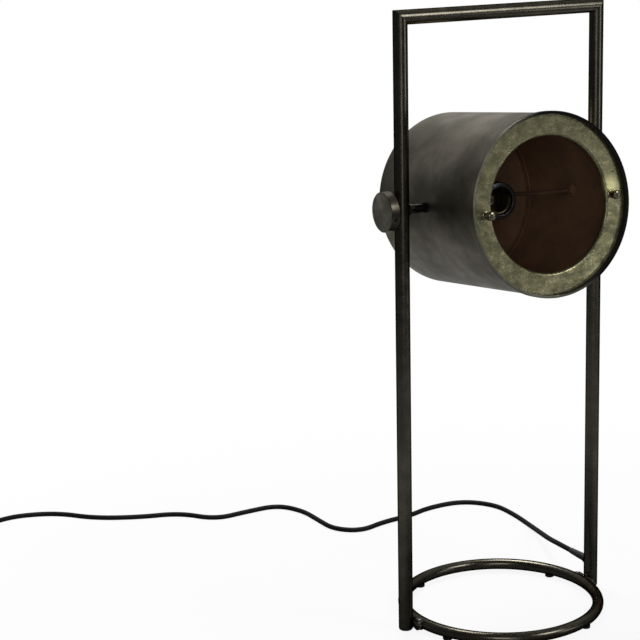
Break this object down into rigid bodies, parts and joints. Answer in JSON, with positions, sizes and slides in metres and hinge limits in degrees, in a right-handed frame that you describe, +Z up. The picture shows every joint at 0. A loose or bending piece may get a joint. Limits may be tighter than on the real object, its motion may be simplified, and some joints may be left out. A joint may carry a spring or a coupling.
{
  "type": "tabletop searchlight lamp",
  "caption": "Dark metal table lamp: an open drum head with a brass face ring tilts between two tube posts that are joined by a top bar and stand on a ring base; corded, with an in-line switch.",
  "frame": {"origin": "centre of the base ring, on the surface that the lamp stands on", "axes": "+Z up; the open end of the drum looks towards -Y; the drum tilts about an axis along X, and the mains cord leaves the post at +X"},
  "size_m": [0.6934, 0.648, 0.645],
  "materials": {
    "frame_steel": "satin black-brown lacquer on steel tube, worn a little at the edges",
    "drum_steel": "dark aged-steel finish, mottled and lightly rubbed",
    "face_brass": "antique brass, mottled olive with paler edges",
    "fitting_brass": "dull brass",
    "fitting_steel": "zinc-plated, dull",
    "holder_plastic": "matt black moulding",
    "holder_ceramic": null,
    "black_plastic": "satin black moulding",
    "cord_rubber": "matt black sheath"
  },
  "bodies": {
    "frame": {"post_left": "frame_steel", "post_right": "frame_steel", "top_bar": "frame_steel", "base_ring": "frame_steel", "ring_welds": "frame_steel", "foot_pads": "black_plastic", "foot_plugs": "black_plastic", "pivot_bushes_left": "black_plastic", "pivot_bushes_right": "black_plastic", "riser_flex": "cord_rubber", "cord_grommet": "black_plastic", "strain_relief": "cord_rubber", "power_cord_lamp_side": "cord_rubber", "power_cord_plug_side": "cord_rubber", "power_cord_plug_lead": "cord_rubber", "cord_coil": "cord_rubber", "cord_tie": "black_plastic", "switch_base": "black_plastic", "switch_cover": "black_plastic", "switch_screws": "fitting_steel", "plug_body": "black_plastic", "plug_pins": "fitting_brass"},
    "drum": {"drum_shell": "drum_steel", "front_collar": "drum_steel", "face_ring": "face_brass", "face_ring_screws": "fitting_brass", "face_ring_lugs": "fitting_steel", "back_plate": "drum_steel", "holder_bracket": "fitting_steel", "bracket_screws": "fitting_steel", "bracket_nuts": "fitting_steel", "holder_nipple": "fitting_brass", "nipple_nut": "fitting_steel", "holder_cap": "holder_plastic", "holder_sleeve": "holder_plastic", "holder_core": "holder_ceramic", "screw_shell": "fitting_brass", "centre_contact": "fitting_brass", "pivot_rod": "fitting_steel", "pivot_pipe": "fitting_steel", "pivot_nuts_left": "fitting_steel", "pivot_nuts_right": "fitting_steel", "pivot_spacer_left": "fitting_brass", "pivot_spacer_right": "fitting_brass", "knob_left": "drum_steel", "knob_right": "drum_steel", "knob_set_screws": "fitting_steel", "drum_flex": "cord_rubber"},
    "rocker": {"switch_rocker": "black_plastic"}
  },
  "joints": [
    {"name": "drum_tilt", "type": "hinge", "parent": "frame", "child": "drum", "pos_m": [0, 0, 0.4455], "axis": [1, 0, 0], "range_deg": [-83.4, 96.6]},
    {"name": "switch_rock", "type": "hinge", "parent": "frame", "child": "rocker", "pos_m": [-0.43, 0.514, 0.0122], "axis": [0.1736, -0.9848, 0], "range_deg": [0, 16]}
  ]
}
